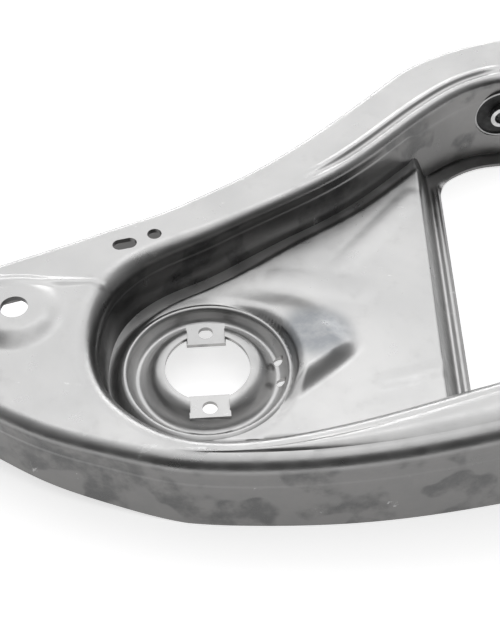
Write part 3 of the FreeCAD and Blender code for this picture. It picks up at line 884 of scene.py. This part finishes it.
def rubber(name, tone=0.022):
    """Matt moulded rubber with bloom."""
    n = Nodes(name)
    bloom = n.spread(n.noise(90.0, 5.0), 0.4, 0.75)
    n.put(n.shader, "Base Color", n.mix(bloom, grey(tone), grey(tone * 2.2)))
    n.put(n.shader, "Roughness", n.spread(n.noise(240.0), 0.3, 0.7, 0.55, 0.75))
    n.bumps(n.noise(1500.0, 3.0), 0.2, 0.0002)
    return n.material


def weld_metal(name):
    """Rippled weld bead with heat colour."""
    n = Nodes(name)
    heat = n.spread(n.noise(120.0, 3.0), 0.35, 0.65)
    n.put(n.shader, "Base Color", n.mix(heat, (0.2, 0.17, 0.15, 1), (0.34, 0.31, 0.28, 1)))
    n.shader.inputs["Metallic"].default_value = 1.0
    n.put(n.shader, "Roughness", n.spread(n.noise(200.0), 0.3, 0.7, 0.4, 0.6))
    n.bumps(n.noise(500.0, 2.0), 0.6, 0.0008)
    return n.material


def dress(item, material):
    """Give an object one material."""
    item.data.materials.clear()
    item.data.materials.append(material)


def dress_frame():
    """Materials of the CAD nodes that stay as they are."""
    bushing = plain_metal("turned_bushing", 0.42, 0.34, turned_marks=True)
    tube = plain_metal("sleeve_tube", 0.6, 0.26, turned_marks=True)
    black = rubber("bushing_rubber")
    finishes = {
        "far_seam_weld": weld_metal("weld_bead"),
        "near_seam_weld": weld_metal("weld_bead_near"),
        "ball_joint_housing": plain_metal("forged_housing", 0.3, 0.42, wear=0.35),
        "swivel_bearing": plain_metal("bearing_bronze", 0.42, 0.35, warm=0.25),
        "half_ball": plain_metal("ground_ball", 0.66, 0.16),
        "ball_stud": plain_metal("ground_stud", 0.66, 0.2, turned_marks=True),
        "pressure_seat": plain_metal("seat_steel", 0.4, 0.35),
        "preload_ring": rubber("preload_rubber"),
        "bottom_cover": plain_metal("pressed_cover", 0.45, 0.36),
        "lower_boot_ring": plain_metal("spring_wire", 0.5, 0.28),
        "upper_boot_ring": plain_metal("spring_wire_upper", 0.5, 0.28),
        "grease_fitting": plain_metal("zinc_fitting", 0.66, 0.28, warm=0.04),
        "castle_nut": plain_metal("zinc_nut", 0.64, 0.3, warm=0.03),
        "cotter_pin": plain_metal("zinc_pin", 0.7, 0.28)}
    for end in ("front", "rear"):
        finishes[f"{end}_bushing_shell"] = bushing
        finishes[f"{end}_bushing_rubber"] = black
        finishes[f"{end}_bushing_sleeve"] = tube
    for name, material in finishes.items():
        dress(frame["nodes"][name], material)


# ------------------------------------------------------------ studio


def area_light(name, place, target, size, power, spread=180.0):
    """Soft rectangular lamp."""
    data = bpy.data.lights.new(name, "AREA")
    data.shape = "RECTANGLE"
    data.size, data.size_y = size
    data.energy = power
    data.spread = math.radians(spread)
    item = bpy.data.objects.new(name, data)
    item.location = place
    item.rotation_euler = (Vector(target) - Vector(place)).to_track_quat("-Z", "Y").to_euler()
    bpy.context.scene.collection.objects.link(item)


def build_studio():
    """Pale floor, soft lamps overhead and behind, and an even backdrop."""
    floor = mesh_object("floor", [(-4000, -4000, FLOOR_Z / MM), (4000, -4000, FLOOR_Z / MM),
                                  (4000, 4000, FLOOR_Z / MM), (-4000, 4000, FLOOR_Z / MM)],
                        [(0, 1, 2, 3)])
    n = Nodes("pale_floor")
    n.put(n.shader, "Base Color", grey(0.92))
    n.shader.inputs["Roughness"].default_value = 0.9
    n.shader.inputs["Specular IOR Level"].default_value = 0.0
    n.shader.inputs["Emission Color"].default_value = (1, 1, 1, 1)
    n.shader.inputs["Emission Strength"].default_value = 0.66
    floor.data.materials.append(n.material)
    area_light("overhead", (0.1, 0.1, 1.8), (0.05, 0.1, 0), (2.0, 1.3), 7)
    area_light("behind", (0.1, 1.55, 1.55), (0.05, 0.1, 0), (3.6, 1.7), 16.5)
    area_light("low_back", (0.2, 2.1, 0.5), (0.05, 0.1, 0), (3.2, 0.4), 14)
    world = bpy.data.worlds.new("studio_air")
    world.use_nodes = True
    tree = world.node_tree
    where = tree.nodes.new("ShaderNodeTexCoord")
    split = tree.nodes.new("ShaderNodeSeparateXYZ")
    tree.links.new(where.outputs["Generated"], split.inputs[0])
    depth = tree.nodes.new("ShaderNodeMapRange")
    for key, number in (("From Min", -0.7), ("From Max", 0.5), ("To Min", 0.06),
                        ("To Max", 0.42)):
        depth.inputs[key].default_value = number
    tree.links.new(split.outputs["Y"], depth.inputs["Value"])
    tree.links.new(depth.outputs["Result"], tree.nodes["Background"].inputs["Strength"])
    tree.nodes["Background"].inputs["Color"].default_value = (1, 1, 1, 1)
    bpy.context.scene.world = world
    bpy.context.scene.view_settings.view_transform = "Standard"


def build_camera():
    """Camera on the near side, looking down at the seat and the deck."""
    data = bpy.data.cameras.new("camera")
    data.sensor_width = 36.0
    data.lens = 63.36
    item = bpy.data.objects.new("camera", data)
    item.location = (-0.0055, -0.5056, 0.6273)
    direction = Vector((0.0479, 0.6667, -0.7438))
    item.rotation_euler = direction.to_track_quat("-Z", "Y").to_euler()
    data.clip_start = 0.01
    bpy.context.scene.collection.objects.link(item)
    bpy.context.scene.camera = item


# ------------------------------------------------------------ assembly

shell = build_shell()
plate = build_plate()
seat = build_seat()
collars = build_collars()
boot = build_boot()

# In the steels below, side sets the tone of the painted shade on the walls.
shell_steel = drawn_steel("drawn_steel")
RAMP_PATCH = (0.082, 0.022, 0.012)
plate_steel = drawn_steel("pressed_steel", flat=0.55, side=0.14, burnish=RAMP_PATCH)
# The seat's walls take a lighter painted shade, and its inboard faces take little painted shade.
seat_look = drawn_steel("seat_steel_and_painted_shade", flat=0.52, side=0.3, inboard_shade=0.2)
boot_rubber = rubber("boot_rubber", 0.028)

dress(shell, shell_steel)
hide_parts("upper_shell")
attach(shell, ARM)
for piece, finish in ((plate, plate_steel), (seat, seat_look)):
    dress(piece, finish)
    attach(piece, ARM)
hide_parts("lower_plate")
for piece in collars:
    dress(piece, shell_steel)
    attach(piece, ARM)
for piece in boot:
    dress(piece, boot_rubber)
dress_frame()
build_studio()
build_camera()
